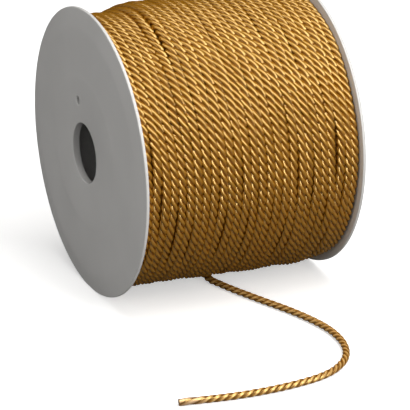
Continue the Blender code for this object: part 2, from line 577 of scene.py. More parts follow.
def wander(slot, angle, seed):
    """A smooth uneven field over the winding, about 1 either way, closed round the spool."""
    draw = np.random.default_rng(seed)
    total = np.zeros(np.broadcast(slot, angle).shape)
    for _ in range(WANDER_WAVES):
        around = int(draw.integers(1, MOST_WAVES_AROUND))
        across = draw.uniform(*WAVES_ACROSS) * draw.choice((-1.0, 1.0))
        total += np.cos(around * angle + across * slot + draw.uniform(0.0, math.tau))
    return total / math.sqrt(WANDER_WAVES / 2)


def parted(x, angle):
    """How far the partings move a turn along the axis."""
    moved = np.zeros(np.broadcast(x, angle).shape)
    for place, middle, half, width in PARTINGS:
        turned = (angle - math.radians(middle) + math.pi) % math.tau - math.pi
        strength = eased(1 - np.abs(turned) / math.radians(half)) * width * MM / 2
        away = x - place * MM
        moved += np.sign(away) * strength * np.exp(-np.abs(away) / PARTING_FADE)
    return moved


class Stretch:
    """One stretch of the top layer, with a ring of the cord's path at each step of the angle."""

    def __init__(self, first_slot, step, whole_turns, extra_angle):
        self.first_slot = first_slot
        self.step = step
        ring = math.tau / RINGS_PER_TURN
        before = round(LEAD_IN / ring)
        after = whole_turns * RINGS_PER_TURN + round(extra_angle / ring)
        self.count = np.arange(-before, after + 1)
        self.gone = self.count / RINGS_PER_TURN
        self.angle = CROSSING_END - self.count * ring

    def crossing(self):
        """How far the crossing to the next slot has gone, 0 to 1 in each turn."""
        share = CROSSING_SPAN / math.tau
        return eased((self.gone % 1.0 - (1 - share)) / share)

    def slots(self):
        """The slot across the spool, a whole number except where the turn crosses over."""
        past = np.floor(self.gone) + self.crossing()
        return self.first_slot + self.step * np.maximum(past, 0.0)

    def turns_from_left(self):
        """The rings of each turn and their columns round the spool, from the left turn on."""
        turn = self.count // RINGS_PER_TURN
        rings = [np.flatnonzero(turn == number) for number in np.unique(turn)[:: self.step]]
        return [(ring, self.count[ring] % RINGS_PER_TURN) for ring in rings]

    def turn_count(self):
        """How many turns the stretch reaches into."""
        return len(np.unique(self.count // RINGS_PER_TURN))

    def laid(self, sizes):
        """Lays made at each ring. Strands of neighbouring turns nest, so they keep in step."""
        around = math.tau * (wound_radius(0.0, math.pi / 2) - sizes.diameter / 2)
        crests = round(around / (sizes.lay_length / sizes.strands)) + self.step * NESTING_STEP
        drift = LAY_WANDER * wander(self.slots(), self.angle, sizes.seed + 2)
        return (self.gone * crests + drift) / sizes.strands


def neighbour_push(stretch, slots, sizes):
    """Turns beside the exit lie half a diameter further apart, and close up past it."""
    around = stretch.gone % 1.0 * math.tau
    closing = 1 - eased((around - PUSH_HOLD) / (PUSH_FADE - PUSH_HOLD))
    strength = np.maximum(closing, stretch.crossing())
    last = 0 if stretch.step > 0 else sizes.turns_across - 1
    share = 1 - np.abs(slots - EXIT_SLOT) / abs(last - EXIT_SLOT)
    return -stretch.step * share * strength * sizes.diameter / 2


def turn_pitch(sizes):
    """Distance between the middles of turns that lie side by side."""
    return 2 * WINDING_END / sizes.turns_across


def sunk(apart, diameter):
    """How much lower a turn lies that rests on another, with their middles that far aside."""
    return np.sqrt(np.maximum(diameter**2 - apart**2, 0.0))


def laid_turns(stretch, dives, sizes):
    """Places along the axis and radii of a stretch's cord, before the turns push each other."""
    pitch = turn_pitch(sizes)
    slots = stretch.slots()
    crossed = stretch.crossing()
    push = neighbour_push(stretch, slots, sizes)
    depth = np.where(stretch.gone < 0, sunk(crossed * pitch, sizes.diameter), 0.0)
    calm = 1.0
    if dives:
        diving = stretch.gone > DIVE_AFTER
        slots = np.where(diving, EXIT_SLOT, slots)
        apart = pitch * (1 - crossed) + sizes.diameter / 2 * crossed
        depth = np.where(diving, sunk(apart, sizes.diameter), depth)
        push = np.where(diving, 0.0, push)
    else:
        calm = eased((stretch.gone[-1] - stretch.gone) / CALM_TURNS)
    x = -WINDING_END + pitch / 2 + pitch * slots + push
    radius = wound_radius(x, stretch.angle) - sizes.diameter / 2 - depth
    x = x + parted(x, stretch.angle) * calm
    x = x + sizes.sideways_wander * wander(slots, stretch.angle, sizes.seed) * calm
    radius = radius + sizes.height_wander * wander(slots, stretch.angle, sizes.seed + 1) * calm
    return x, radius


def top_layer(sizes):
    """The two stretches of the top layer: the cord's middle line and the lays made along it.

    One comes from the left flange, and its last turn dives under its neighbour. The other comes
    from the right flange, and its last turn becomes the loose end.
    """
    last = sizes.turns_across - 1
    left = Stretch(0, 1, EXIT_SLOT + 1, 0.0)
    right = Stretch(last, -1, last - EXIT_SLOT, CROSSING_END - LEAVING)
    made = [(stretch, *laid_turns(stretch, stretch is left, sizes)) for stretch in (left, right)]
    laid = [stretch.laid(sizes) for stretch, *_ in made]
    return list(zip(relaxed(made, sizes), laid))


def relaxed(made, sizes):
    """Pushes turns apart where they would lie in each other, side by side at each angle."""
    turns = [turn for stretch, *_ in made for turn in stretch.turns_from_left()]
    table = np.full((len(turns), 2, RINGS_PER_TURN), np.nan)
    places = np.hstack([row[1:] for row in made])
    starts = np.repeat((0, len(made[0][1])), [row[0].turn_count() for row in made])
    for row, (rings, columns), start in zip(table, turns, starts):
        row[:, columns] = places[:, rings + start]
    closest = CLOSEST * sizes.diameter
    side = INNER_FACE - sizes.diameter / 2
    highest = AXIS_HEIGHT - sizes.diameter / 2 - FLOOR_CLEARANCE
    for _ in range(RELAXING_ROUNDS):
        between = table[1:] - table[:-1]
        distance = np.maximum(np.hypot(between[:, 0], between[:, 1]), LEAST_APART)
        short = np.nan_to_num(np.maximum(closest - distance, 0.0))
        move = np.nan_to_num(between / distance[:, None]) * short[:, None] / 2
        table[1:] += move
        table[:-1] -= move
        table[:, 0] = np.clip(table[:, 0], -side, side)
        table[:, 1] = np.minimum(table[:, 1], highest)
    moved = places.copy()
    for row, (rings, columns), start in zip(table, turns, starts):
        moved[:, rings + start] = row[:, columns]
    shift = np.split(moved - places, [len(made[0][1])], axis=1)
    paths = []
    for (stretch, x, radius), (aside, higher) in zip(made, shift):
        paths.append(around_spool(x + softened(aside), radius + softened(higher), stretch.angle))
    return paths


def softened(shift):
    """A running mean over neighbouring rings."""
    window = np.ones(SMOOTHING_RINGS) / SMOOTHING_RINGS
    return np.convolve(np.pad(shift, SMOOTHING_RINGS // 2, "edge"), window, "valid")


def around_spool(x, radius, angle):
    """Points at places along the axis, radii from it and angles round it."""
    places = (x, -radius * np.sin(angle), AXIS_HEIGHT + radius * np.cos(angle))
    return np.stack(places, axis=-1)


def from_axis(points):
    """Directions from the spool's axis to points, square to the axis."""
    out = points * (0.0, 1.0, 1.0) - (0.0, 0.0, AXIS_HEIGHT)
    return out / np.linalg.norm(out, axis=-1, keepdims=True)


def run_lengths(points):
    """Distance along the path at each of its points."""
    steps = np.linalg.norm(np.diff(points, axis=0), axis=1)
    return np.concatenate(([0.0], np.cumsum(steps)))


def smooth_route(points, step):
    """Points a step apart along a smooth curve that passes through the given ones."""
    points = np.array(points)
    ends = np.vstack((2 * points[0] - points[1], points, 2 * points[-1] - points[-2]))
    parts = np.linspace(0.0, 1.0, ROUTE_PARTS, endpoint=False)[:, None]
    fine = []
    for before, start, end, after in zip(ends, ends[1:], ends[2:], ends[3:]):
        linear = (end - before) * parts
        square = (2 * before - 5 * start + 4 * end - after) * parts**2
        cube = (3 * start - before - 3 * end + after) * parts**3
        fine.append(0.5 * (2 * start + linear + square + cube))
    fine = np.vstack((*fine, points[-1:]))
    run = run_lengths(fine)
    count = round(run[-1] / step)
    wanted = np.linspace(0.0, run[-1], count + 1)
    return np.stack([np.interp(wanted, run, fine[:, axis]) for axis in range(3)], axis=-1)


def guide_mesh(name, line):
    """A chain of edges along a line of cord, with what the cord's node tree reads at each point."""
    mesh = bpy.data.meshes.new(name)
    count = len(line["points"])
    mesh.vertices.add(count)
    mesh.vertices.foreach_set("co", line["points"].astype(np.float32).ravel())
    mesh.edges.add(count - 1)
    pairs = np.stack((np.arange(count - 1), np.arange(1, count)), axis=-1)
    mesh.edges.foreach_set("vertices", pairs.astype(np.int32).ravel())
    for label in LINE_SHAPE + LINE_WEAR_AND_HIGHLIGHT:
        stored = mesh.attributes.new(label, "FLOAT", "POINT")
        stored.data.foreach_set("value", line[label].astype(np.float32))
    stored = mesh.attributes.new("outward", "FLOAT_VECTOR", "POINT")
    stored.data.foreach_set("vector", line["outward"].astype(np.float32).ravel())
    mesh.update()
    return mesh


def add_node(tree, kind, inputs=None, **settings):
    """A node with its settings, and its inputs linked to a socket or set to a value."""
    node = tree.nodes.new(kind)
    for name, value in settings.items():
        setattr(node, name, value)
    for key, value in (inputs or {}).items():
        if isinstance(value, bpy.types.NodeSocket):
            tree.links.new(value, node.inputs[key])
        else:
            node.inputs[key].default_value = value
    return node


def maths(tree, operation, *values):
    """The result of a Math node."""
    node = add_node(tree, "ShaderNodeMath", dict(enumerate(values)), operation=operation)
    return node.outputs[0]


def sums(tree, *operations):
    """Short forms of some of a tree's Math nodes."""
    return [partial(maths, tree, operation) for operation in operations]


def new_tree(name, kind, inputs, outputs):
    """A node tree with its named sockets, and what its inputs give."""
    tree = bpy.data.node_groups.new(name, kind)
    for way, sockets in (("INPUT", inputs), ("OUTPUT", outputs)):
        for socket, form in sockets.items():
            tree.interface.new_socket(socket, in_out=way, socket_type="NodeSocket" + form)
    return tree, add_node(tree, "NodeGroupInput").outputs


def named_value(tree, name, kind="FLOAT"):
    """The value of a named attribute."""
    found = add_node(tree, "GeometryNodeInputNamedAttribute", {"Name": name}, data_type=kind)
    return found.outputs["Attribute"]


def vector_maths(tree, operation, *values, scale=None):
    """The result of a Vector Math node, which is a number for a length or a dot product."""
    inputs = dict(enumerate(values))
    if scale is not None:
        inputs["Scale"] = scale
    node = add_node(tree, "ShaderNodeVectorMath", inputs, operation=operation)
    return node.outputs["Value" if operation in ("LENGTH", "DOT_PRODUCT") else "Vector"]


def combined(tree, **parts):
    """A vector with the given parts."""
    return add_node(tree, "ShaderNodeCombineXYZ", parts).outputs["Vector"]


def position(tree):
    """The place of each point."""
    return add_node(tree, "GeometryNodeInputPosition").outputs["Position"]


def placed(tree, shape, **places):
    """A shape with its points at a Position, or moved by an Offset."""
    inputs = {"Geometry": shape, **places}
    return add_node(tree, "GeometryNodeSetPosition", inputs).outputs["Geometry"]


def with_attribute(tree, shape, name, value, kind, domain="POINT"):
    """A shape with a value kept on it as a named attribute."""
    inputs = {"Geometry": shape, "Name": name, "Value": value}
    settings = {"data_type": kind, "domain": domain}
    node = add_node(tree, "GeometryNodeStoreNamedAttribute", inputs, **settings)
    return node.outputs["Geometry"]


def strand_profile(tree, given):
    """The cord's section: equal round strands side by side, from one valley round to it again."""
    plus, minus, times, over = sums(tree, "ADD", "SUBTRACT", "MULTIPLY", "DIVIDE")
    strands = given["Strands"]
    circle = {
        "Resolution": plus(times(strands, given["Sides per Strand"]), 1.0),
        "Radius": 1.0,
        "Start Angle": 0.0,
        "Sweep Angle": math.tau,
    }
    outline = add_node(tree, "GeometryNodeCurveArc", circle, mode="RADIUS").outputs["Curve"]
    factor = add_node(tree, "GeometryNodeSplineParameter").outputs["Factor"]
    share = over(math.tau, strands)
    turn = minus(maths(tree, "MODULO", times(factor, math.tau), share), times(share, 0.5))
    strand_radius = given["Strand Radius Share"]
    off_axis = minus(1.0, strand_radius)
    reach = times(off_axis, maths(tree, "SINE", turn))
    near = times(off_axis, maths(tree, "COSINE", turn))
    squared = minus(maths(tree, "POWER", strand_radius, 2.0), maths(tree, "POWER", reach, 2.0))
    radius = plus(near, maths(tree, "SQRT", squared))
    radius = times(times(radius, given["Cord Diameter"]), 0.5)
    shaped = vector_maths(tree, "SCALE", position(tree), scale=radius)
    section = placed(tree, outline, Position=shaped)
    return with_attribute(tree, section, "around", factor, "FLOAT")


def from_middle(tree):
    """Each point's reach from the cord's own middle, as a vector."""
    middle = named_value(tree, "middle", "FLOAT_VECTOR")
    return vector_maths(tree, "SUBTRACT", position(tree), middle)


def rounded_cord(tree, given, cord):
    """The valleys between the strands filled out towards the cord's full thickness."""
    minus, times, over = sums(tree, "SUBTRACT", "MULTIPLY", "DIVIDE")
    reach = from_middle(tree)
    length = vector_maths(tree, "LENGTH", reach)
    full = times(times(given["Cord Diameter"], 0.5), named_value(tree, "girth"))
    filled = times(minus(over(full, length), 1.0), named_value(tree, "rounded"))
    return placed(tree, cord, Offset=vector_maths(tree, "SCALE", reach, scale=filled))


def pressed_cord(tree, given, cord):
    """The cord pressed wide and flat between its neighbours along the spool's axis.

    A round section takes a point's place across the turn from the sine of its angle. Here part
    of it comes from the angle itself, so the strands cross the turn at a more even slant, and
    the height comes from a wider ellipse, which gives the turn a flat crown.
    """
    plus, minus, times, over = sums(tree, "ADD", "SUBTRACT", "MULTIPLY", "DIVIDE")
    reach = from_middle(tree)
    outward = named_value(tree, "outward", "FLOAT_VECTOR")
    side = add_node(tree, "ShaderNodeSeparateXYZ", {"Vector": reach}).outputs["X"]
    out = vector_maths(tree, "DOT_PRODUCT", reach, outward)
    radius = vector_maths(tree, "LENGTH", combined(tree, X=side, Y=out))
    angle = maths(tree, "ABSOLUTE", maths(tree, "ARCTAN2", side, out))
    quarters = minus(over(angle, math.pi / 2), 1.0)
    even = minus(1.0, maths(tree, "ABSOLUTE", quarters))
    sine = maths(tree, "SINE", angle)
    slanted = plus(sine, times(minus(even, sine), given["Even Slant"]))
    across = times(slanted, given["Pressed Wide"])
    reached = over(across, given["Crown Wide"])
    height = maths(tree, "SQRT", minus(1.0, maths(tree, "POWER", reached, 2.0)))
    pressed = named_value(tree, "pressed")
    shifts = []
    for place, share in ((side, across), (out, height)):
        wanted = times(times(radius, share), maths(tree, "SIGN", place))
        shifts.append(times(minus(wanted, place), pressed))
    sideways = combined(tree, X=shifts[0])
    upwards = vector_maths(tree, "SCALE", outward, scale=shifts[1])
    return placed(tree, cord, Offset=vector_maths(tree, "ADD", sideways, upwards))


def laid_cord_tree():
    """Node tree that lays the strands of a cord along a guide."""
    tree, given = new_tree("laid_cord", "GeometryNodeTree", CORD_INPUTS, {"Cord": "Geometry"})
    line = add_node(tree, "GeometryNodeMeshToCurve", {"Mesh": given["Guide"]})
    outward = add_node(
        tree,
        "GeometryNodeSetCurveNormal",
        {"Curve": line.outputs["Curve"], "Normal": named_value(tree, "outward", "FLOAT_VECTOR")},
        mode="FREE",
    )
    tilt = maths(tree, "MULTIPLY", named_value(tree, "laid"), -math.tau)
    tilted = add_node(
        tree, "GeometryNodeSetCurveTilt", {"Curve": outward.outputs["Curve"], "Tilt": tilt}
    )
    middle = position(tree)
    twisted = with_attribute(tree, tilted.outputs["Curve"], "middle", middle, "FLOAT_VECTOR")
    swept = add_node(
        tree,
        "GeometryNodeCurveToMesh",
        {
            "Curve": twisted,
            "Profile Curve": strand_profile(tree, given),
            "Scale": named_value(tree, "girth"),
        },
    )
    pressed = pressed_cord(tree, given, rounded_cord(tree, given, swept.outputs["Mesh"]))
    spread = combined(tree, X=named_value(tree, "run"), Y=named_value(tree, "around"))
    result = with_attribute(tree, pressed, "cord_map", spread, "FLOAT2", "CORNER")
    for label in (*LINE_SHAPE, "outward", "around", "middle"):
        result = add_node(
            tree, "GeometryNodeRemoveAttribute", {"Geometry": result, "Name": label}
        ).outputs["Geometry"]
    closed = add_node(
        tree, "GeometryNodeMergeByDistance", {"Geometry": result, "Distance": MERGE_DISTANCE}
    )
    real = add_node(
        tree, "GeometryNodeRealizeInstances", {"Geometry": closed.outputs["Geometry"]}
    )
    finished = add_node(
        tree,
        "GeometryNodeSetMaterial",
        {"Geometry": real.outputs["Geometry"], "Material": given["Finish"]},
    )
    add_node(tree, "NodeGroupOutput", {"Cord": finished.outputs["Geometry"]})
    return tree


def tree_modifier(piece, tree, values):
    """A Geometry Nodes modifier on the piece, with its named inputs set."""
    modifier = piece.modifiers.new(tree.name, "NODES")
    modifier.node_group = tree
    for item in tree.interface.items_tree:
        if item.item_type == "SOCKET" and item.name in values:
            modifier[item.identifier] = values[item.name]


def write_shape(shape, mesh):
    """Turns the shape's faces outwards and puts it in the mesh."""
    bmesh.ops.recalc_face_normals(shape, faces=shape.faces)
    shape.to_mesh(mesh)
    shape.free()


def baked(piece):
    """The piece with its modifiers turned into plain mesh, loose ends capped, faces outwards."""
    graph = bpy.context.evaluated_depsgraph_get()
    mesh = bpy.data.meshes.new_from_object(piece.evaluated_get(graph))
    piece.modifiers.clear()
    piece.data = mesh
    shape = bmesh.new()
    shape.from_mesh(mesh)
    rims = [edge for edge in shape.edges if edge.is_boundary]
    if rims:
        bmesh.ops.holes_fill(shape, edges=rims, sides=0)
    write_shape(shape, mesh)
    return piece


def add_object(name, data):
    """An object in the scene, from its mesh, lamp or lens."""
    made = bpy.data.objects.new(name, data)
    bpy.context.scene.collection.objects.link(made)
    return made


def smooth_over(piece, angle):
    """Smooth shading, with edges sharper than the angle kept crisp."""
    piece.data.shade_smooth()
    piece.data.set_sharp_from_angle(angle=angle)


def cord_piece(name, line, values, finish):
    """A stretch of cord as one mesh, laid along its line."""
    tree = bpy.data.node_groups.get("laid_cord") or laid_cord_tree()
    piece = add_object(name, guide_mesh(name, line))
    tree_modifier(piece, tree, {**values, "Finish": finish})
    baked(piece)
    smooth_over(piece, CORD_CREASE)
    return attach(piece, BODY)


def uneven_girth(run, seed):
    """Thickness of the cord along its length, a little uneven, about 1."""
    draw = np.random.default_rng(seed)
    total = np.zeros_like(run)
    for length in GIRTH_WAVES:
        total += np.sin(run / length * math.tau + draw.uniform(0.0, math.tau))
    return 1.0 + GIRTH_SPREAD * total


def noise(tree, place, scale, detail, roughness=0.5, dimensions="3D"):
    """Noise between 0 and 1 at a place."""
    inputs = {"Vector": place, "Scale": scale, "Detail": detail, "Roughness": roughness}
    node = add_node(tree, "ShaderNodeTexNoise", inputs, noise_dimensions=dimensions)
    return node.outputs["Fac"]


def ranged(tree, value, limits):
    """A value taken from between two limits to between 0 and 1."""
    inputs = {"Value": value, "From Min": limits[0], "From Max": limits[1]}
    return add_node(tree, "ShaderNodeMapRange", inputs).outputs["Result"]


def filament_group():
    """Shader group: fine satin filaments along each strand, from the cord's own map."""
    outputs = dict.fromkeys(("Tone", "Height", "Crest"), "Float")
    group, given = new_tree("satin_filaments", "ShaderNodeTree", FILAMENT_INPUTS, outputs)
    plus, times = sums(group, "ADD", "MULTIPLY")
    parts = add_node(group, "ShaderNodeSeparateXYZ", {"Vector": given["Map"]}).outputs
    lean = plus(times(parts["Y"], given["Filaments Round"]), times(parts["X"], given["Slant"]))
    place = combined(group, X=lean, Y=times(parts["X"], given["Streaks per Metre"]))
    fine = noise(group, place, scale=1.0, detail=2.0, roughness=0.6, dimensions="2D")
    broad = noise(group, place, scale=BROAD_SCALE, detail=1.0, dimensions="2D")
    across = maths(group, "FRACT", times(parts["Y"], given["Strands"]))
    crest = maths(group, "SINE", times(across, math.pi))
    tone = plus(times(fine, FINE_SHARE), times(broad, 1.0 - FINE_SHARE))
    add_node(group, "NodeGroupOutput", {"Tone": tone, "Height": fine, "Crest": crest})
    return group


def patch_group():
    """Shader group: broad soft patches over an object, for uneven colour."""
    group, given = new_tree("soft_patches", "ShaderNodeTree", PATCH_INPUTS, {"Mask": "Float"})
    plus, minus, times = sums(group, "ADD", "SUBTRACT", "MULTIPLY")
    where = add_node(group, "ShaderNodeTexCoord").outputs["Object"]
    patches = noise(group, where, scale=given["Patches per Metre"], detail=2.0)
    spread = plus(times(minus(patches, 0.5), given["Contrast"]), 0.5)
    mask = add_node(group, "ShaderNodeClamp", {"Value": spread})
    add_node(group, "NodeGroupOutput", {"Mask": mask.outputs["Result"]})
    return group


def patch_mask(tree, per_metre):
    """The mask of the soft patches, in a material's own tree."""
    group = bpy.data.node_groups.get("soft_patches") or patch_group()
    inputs = {"Patches per Metre": per_metre, "Contrast": PATCH_CONTRAST}
    return add_node(tree, "ShaderNodeGroup", inputs, node_tree=group).outputs["Mask"]


def mixed_color(tree, factor, first, second):
    """Two colours mixed by a factor."""
    inputs = {MIX_FACTOR: factor, MIX_FIRST: first, MIX_SECOND: second}
    return add_node(tree, "ShaderNodeMix", inputs, data_type="RGBA").outputs[MIX_COLOR]


def new_material(name, finish):
    """A material with its tree and Principled shader, and what is the same all over it."""
    made = bpy.data.materials.new(name)
    made.use_nodes = True
    tree = made.node_tree
    shader = tree.nodes["Principled BSDF"]
    for key, value in finish.items():
        shader.inputs[key].default_value = value
    return made, tree, shader


def add_relief(tree, shader, height, strength):
    """Fine relief on the surface."""
    inputs = {"Height": height, "Strength": strength, "Distance": RELIEF_DEPTH}
    bump = add_node(tree, "ShaderNodeBump", inputs)
    tree.links.new(bump.outputs["Normal"], shader.inputs["Normal"])


def attribute(tree, name):
    """A piece's own attribute, in a material's tree."""
    return add_node(tree, "ShaderNodeAttribute", attribute_name=name).outputs["Fac"]


def opaque(color, share=1.0):
    """A colour, or a share of it, with full cover."""
    return (*(channel * share for channel in color), 1.0)


def gold_satin(sizes):
    """Glossy gold satin yarn, its filaments along the strands, paler where it is worn, with painted
    shade in the valleys between the strands and a painted highlight along the crests of the loose
    cord.
    """
    found = bpy.data.materials.get("gold_satin")
    if found:
        return found
    made, tree, shader = new_material("gold_satin", GOLD_FINISH)
    inputs = {
        "Map": add_node(tree, "ShaderNodeUVMap", uv_map="cord_map").outputs["UV"],
        "Strands": float(sizes.strands),
        "Filaments Round": FILAMENTS_ROUND,
        "Slant": FILAMENT_SLANT,
        "Streaks per Metre": STREAKS_PER_METRE,
    }
    filaments = add_node(tree, "ShaderNodeGroup", inputs, node_tree=filament_group()).outputs
    light = opaque(sizes.light_gold)
    deep = opaque(sizes.valley_shade_and_streak_gold)
    tone = ranged(tree, filaments["Tone"], STREAK_RANGE)
    streaks = maths(tree, "MULTIPLY", tone, STREAK_SHARE)
    body = mixed_color(tree, streaks, light, mixed_color(tree, tone, deep, light))
    # Painted shade: the deep colour fills the valleys between the strands, where the strands shade
    # each other
    raised = ranged(tree, filaments["Crest"], VALLEY_SHADE_AND_WEAR_RANGE)
    with_valley_shade = mixed_color(tree, raised, deep, body)
    warm = opaque(channel * share for channel, share in zip(sizes.light_gold, WARMER))
    shade = maths(tree, "MULTIPLY", patch_mask(tree, CORD_PATCHES), WARM_SHARE)
    colored = mixed_color(tree, shade, with_valley_shade, warm)
    # Painted highlight: a pale line along each strand's crest on the loose cord, rising with the
    # free share
    crest = ranged(tree, filaments["Crest"], PAINTED_HIGHLIGHT_RANGE)
    crest_highlight_share = maths(tree, "MULTIPLY", crest, attribute(tree, "free"))
    colored = mixed_color(tree, crest_highlight_share, colored, opaque(sizes.painted_highlight_gold))
    paler = mixed_color(tree, raised, with_valley_shade, opaque(sizes.worn_gold))
    colored = mixed_color(tree, attribute(tree, "worn"), colored, paler)
    tree.links.new(colored, shader.inputs["Base Color"])
    along_strand = add_node(tree, "ShaderNodeTangent", direction_type="UV_MAP", uv_map="cord_map")
    tree.links.new(along_strand.outputs["Tangent"], shader.inputs["Tangent"])
    add_relief(tree, shader, filaments["Height"], GOLD_RELIEF)
    return made


def moulded_plastic(spool):
    """Off-white moulded plastic with a faintly mottled skin."""
    found = bpy.data.materials.get("moulded_plastic")
    if found:
        return found
    made, tree, shader = new_material("moulded_plastic", PLASTIC_FINISH)
    base = opaque(spool.plastic_color)
    aged = opaque(spool.plastic_color, AGED_PLASTIC)
    mottled = mixed_color(tree, patch_mask(tree, SPOOL_PATCHES), base, aged)
    tree.links.new(mottled, shader.inputs["Base Color"])
    where = add_node(tree, "ShaderNodeTexCoord").outputs["Object"]
    add_relief(tree, shader, noise(tree, where, scale=PLASTIC_GRAIN, detail=3.0), PLASTIC_RELIEF)
    return made


def rounded_section(rows, side):
    """Section points in metres with the corners rounded; side is -1 left and 1 right."""
    corners = [Vector((radius * MM, height * MM)) for radius, height, _ in rows]
    points = []
    for number, (corner, row) in enumerate(zip(corners, rows)):
        before = corners[number - 1]
        after = corners[(number + 1) % len(corners)]
        shorter = min((before - corner).length, (after - corner).length)
        trim = min(row[2] * MM, shorter * LARGEST_TRIM)
        start = corner + (before - corner).normalized() * trim
        end = corner + (after - corner).normalized() * trim
        for step in range(ROUNDING_STEPS + 1):
            part = step / ROUNDING_STEPS
            points.append(start.lerp(corner, part).lerp(corner.lerp(end, part), part))
    return [(point.x, side * (INNER_FACE + point.y)) for point in points]


def turned_piece(name, section, segments, finish):
    """A closed section of (radius, x) points turned about the spool's axis."""
    mesh = bpy.data.meshes.new(name)
    count = len(section)
    points = [(x, 0.0, radius) for radius, x in section]
    mesh.from_pydata(points, [(i, (i + 1) % count) for i in range(count)], [])
    piece = add_object(name, mesh)
    turn = piece.modifiers.new("turn", "SCREW")
    turn.axis = "X"
    turn.angle = math.tau
    turn.steps = segments
    turn.render_steps = segments
    turn.use_merge_vertices = True
    turn.merge_threshold = TURNED_MERGE
    baked(piece)
    for point in piece.data.vertices:
        point.co.z += AXIS_HEIGHT
    piece.data.materials.clear()
    piece.data.materials.append(finish)
    return piece


def driver_hole_cutter(spool):
    """A rod with a flared end at each flange's outer face, for the small holes."""
    outer = INNER_FACE + HUB_THICKNESS
    radius = spool.driver_hole_radius
    half = [
        (radius, outer - HOLE_FLARE),
        (radius + 3 * HOLE_FLARE, outer + 2 * HOLE_FLARE),
        (0.0, outer + 2 * HOLE_FLARE),
    ]
    section = [(across, -x) for across, x in half[::-1]] + half
    mesh = bpy.data.meshes.new("driver_rod")
    shape = bmesh.new()
    rings = []
    for across, x in section:
        steps = HOLE_SEGMENTS if across else 1
        angles = [math.tau * number / HOLE_SEGMENTS for number in range(steps)]
        places = [(x, across * math.cos(angle), across * math.sin(angle)) for angle in angles]
        rings.append([shape.verts.new(place) for place in places])
    for low, high in zip(rings, rings[1:]):
        for number in range(HOLE_SEGMENTS):
            after = (number + 1) % HOLE_SEGMENTS
            corners = [low[number % len(low)], low[after % len(low)]]
            corners += [high[after % len(high)], high[number % len(high)]]
            shape.faces.new(list(dict.fromkeys(corners)))
    write_shape(shape, mesh)
    behind = spool.driver_hole_distance * math.cos(spool.driver_hole_angle)
    above = spool.driver_hole_distance * math.sin(spool.driver_hole_angle)
    mesh.transform(Matrix.Translation((0.0, behind, AXIS_HEIGHT + above)))
    return add_object("driver_rod", mesh)


def flatten_foot(piece):
    """Cuts the flange off level with the floor and closes the cut."""
    shape = bmesh.new()
    shape.from_mesh(piece.data)
    cut = bmesh.ops.bisect_plane(
        shape,
        geom=[*shape.verts, *shape.edges, *shape.faces],
        plane_co=(0.0, 0.0, 0.0),
        plane_no=(0.0, 0.0, 1.0),
        clear_inner=True,
        dist=CUT_TOLERANCE,
    )
    rim = [part for part in cut["geom_cut"] if isinstance(part, bmesh.types.BMEdge)]
    bmesh.ops.edgeloop_fill(shape, edges=rim)
    write_shape(shape, piece.data)


def make_flange(side, cutter, finish):
    """One flange of the spool: side is -1 at the left and 1 at the right."""
    word = "left" if side < 0 else "right"
    section = rounded_section(FLANGE_SECTION, side)
    flange = turned_piece("spool_flange_" + word, section, FLANGE_SEGMENTS, finish)
    flatten_foot(flange)
    hole = flange.modifiers.new("driver_hole", "BOOLEAN")
    hole.operation = "DIFFERENCE"
    hole.solver = "EXACT"
    hole.object = cutter
    baked(flange)
    smooth_over(flange, SPOOL_CREASE)
    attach(flange, BODY)
    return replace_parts(flange, "flange_" + word)


def make_barrel(spool, finish):
    """The hollow barrel behind the bores."""
    inner = BARREL_RADIUS - spool.barrel_wall
    section = [
        (inner, -BARREL_END),
        (BARREL_RADIUS, -BARREL_END),
        (BARREL_RADIUS, BARREL_END),
        (inner, BARREL_END),
    ]
    barrel = turned_piece("spool_barrel", section, BARREL_SEGMENTS, finish)
    smooth_over(barrel, SPOOL_CREASE)
    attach(barrel, BODY)
    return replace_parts(barrel, "barrel")


def cord_line(points, outward, laid, **more):
    """A line of cord: its middle, which way is out, the lays made, and shares of its shape."""
    run = run_lengths(points)
    line = {
        "points": points,
        "outward": outward,
        "laid": laid,
        "run": run,
        "girth": np.ones_like(run),
        "pressed": np.ones_like(run),
        "rounded": np.zeros_like(run),
        "free": np.zeros_like(run),
        "worn": np.zeros_like(run),
    }
    return {**line, **more}


def pressed_share(outward):
    """How far turns are pressed: fully over the top, less towards the underside."""
    lower = eased((PRESSED_FULLY - outward[:, 2]) / PRESS_FADE)
    return 1.0 - (1.0 - PRESSED_BELOW) * lower


def cord_sizes(sizes, diameter, sides):
    """The named inputs of the cord's node tree, for a cord that thick."""
    return {
        "Cord Diameter": diameter,
        "Strands": sizes.strands,
        "Sides per Strand": sides,
        "Strand Radius Share": sizes.strand_share,
        "Pressed Wide": sizes.pressed_wide,
        "Even Slant": sizes.even_slant,
        "Crown Wide": sizes.crown_wide,
    }


def make_top_layer(sizes, finish):
    """The top layer of turns, in four pieces that part on the underside."""
    values = cord_sizes(sizes, sizes.diameter, SIDES_PER_STRAND)
    for word, (path, laid) in zip(("left", "right"), top_layer(sizes)):
        girth = uneven_girth(run_lengths(path), sizes.seed)
        outward = from_axis(path)
        line = cord_line(path, outward, laid, girth=girth, pressed=pressed_share(outward))
        height = path[:, 2]
        lowest = np.flatnonzero((height[1:-1] < height[:-2]) & (height[1:-1] <= height[2:])) + 1
        middle = lowest[len(lowest) // 2]
        for part, first, last in (("outer", 0, middle), ("inner", middle, len(path) - 1)):
            stretch = {name: kept[first : last + 1] for name, kept in line.items()}
            cord_piece(f"wound_turns_{word}_{part}", stretch, values, finish)


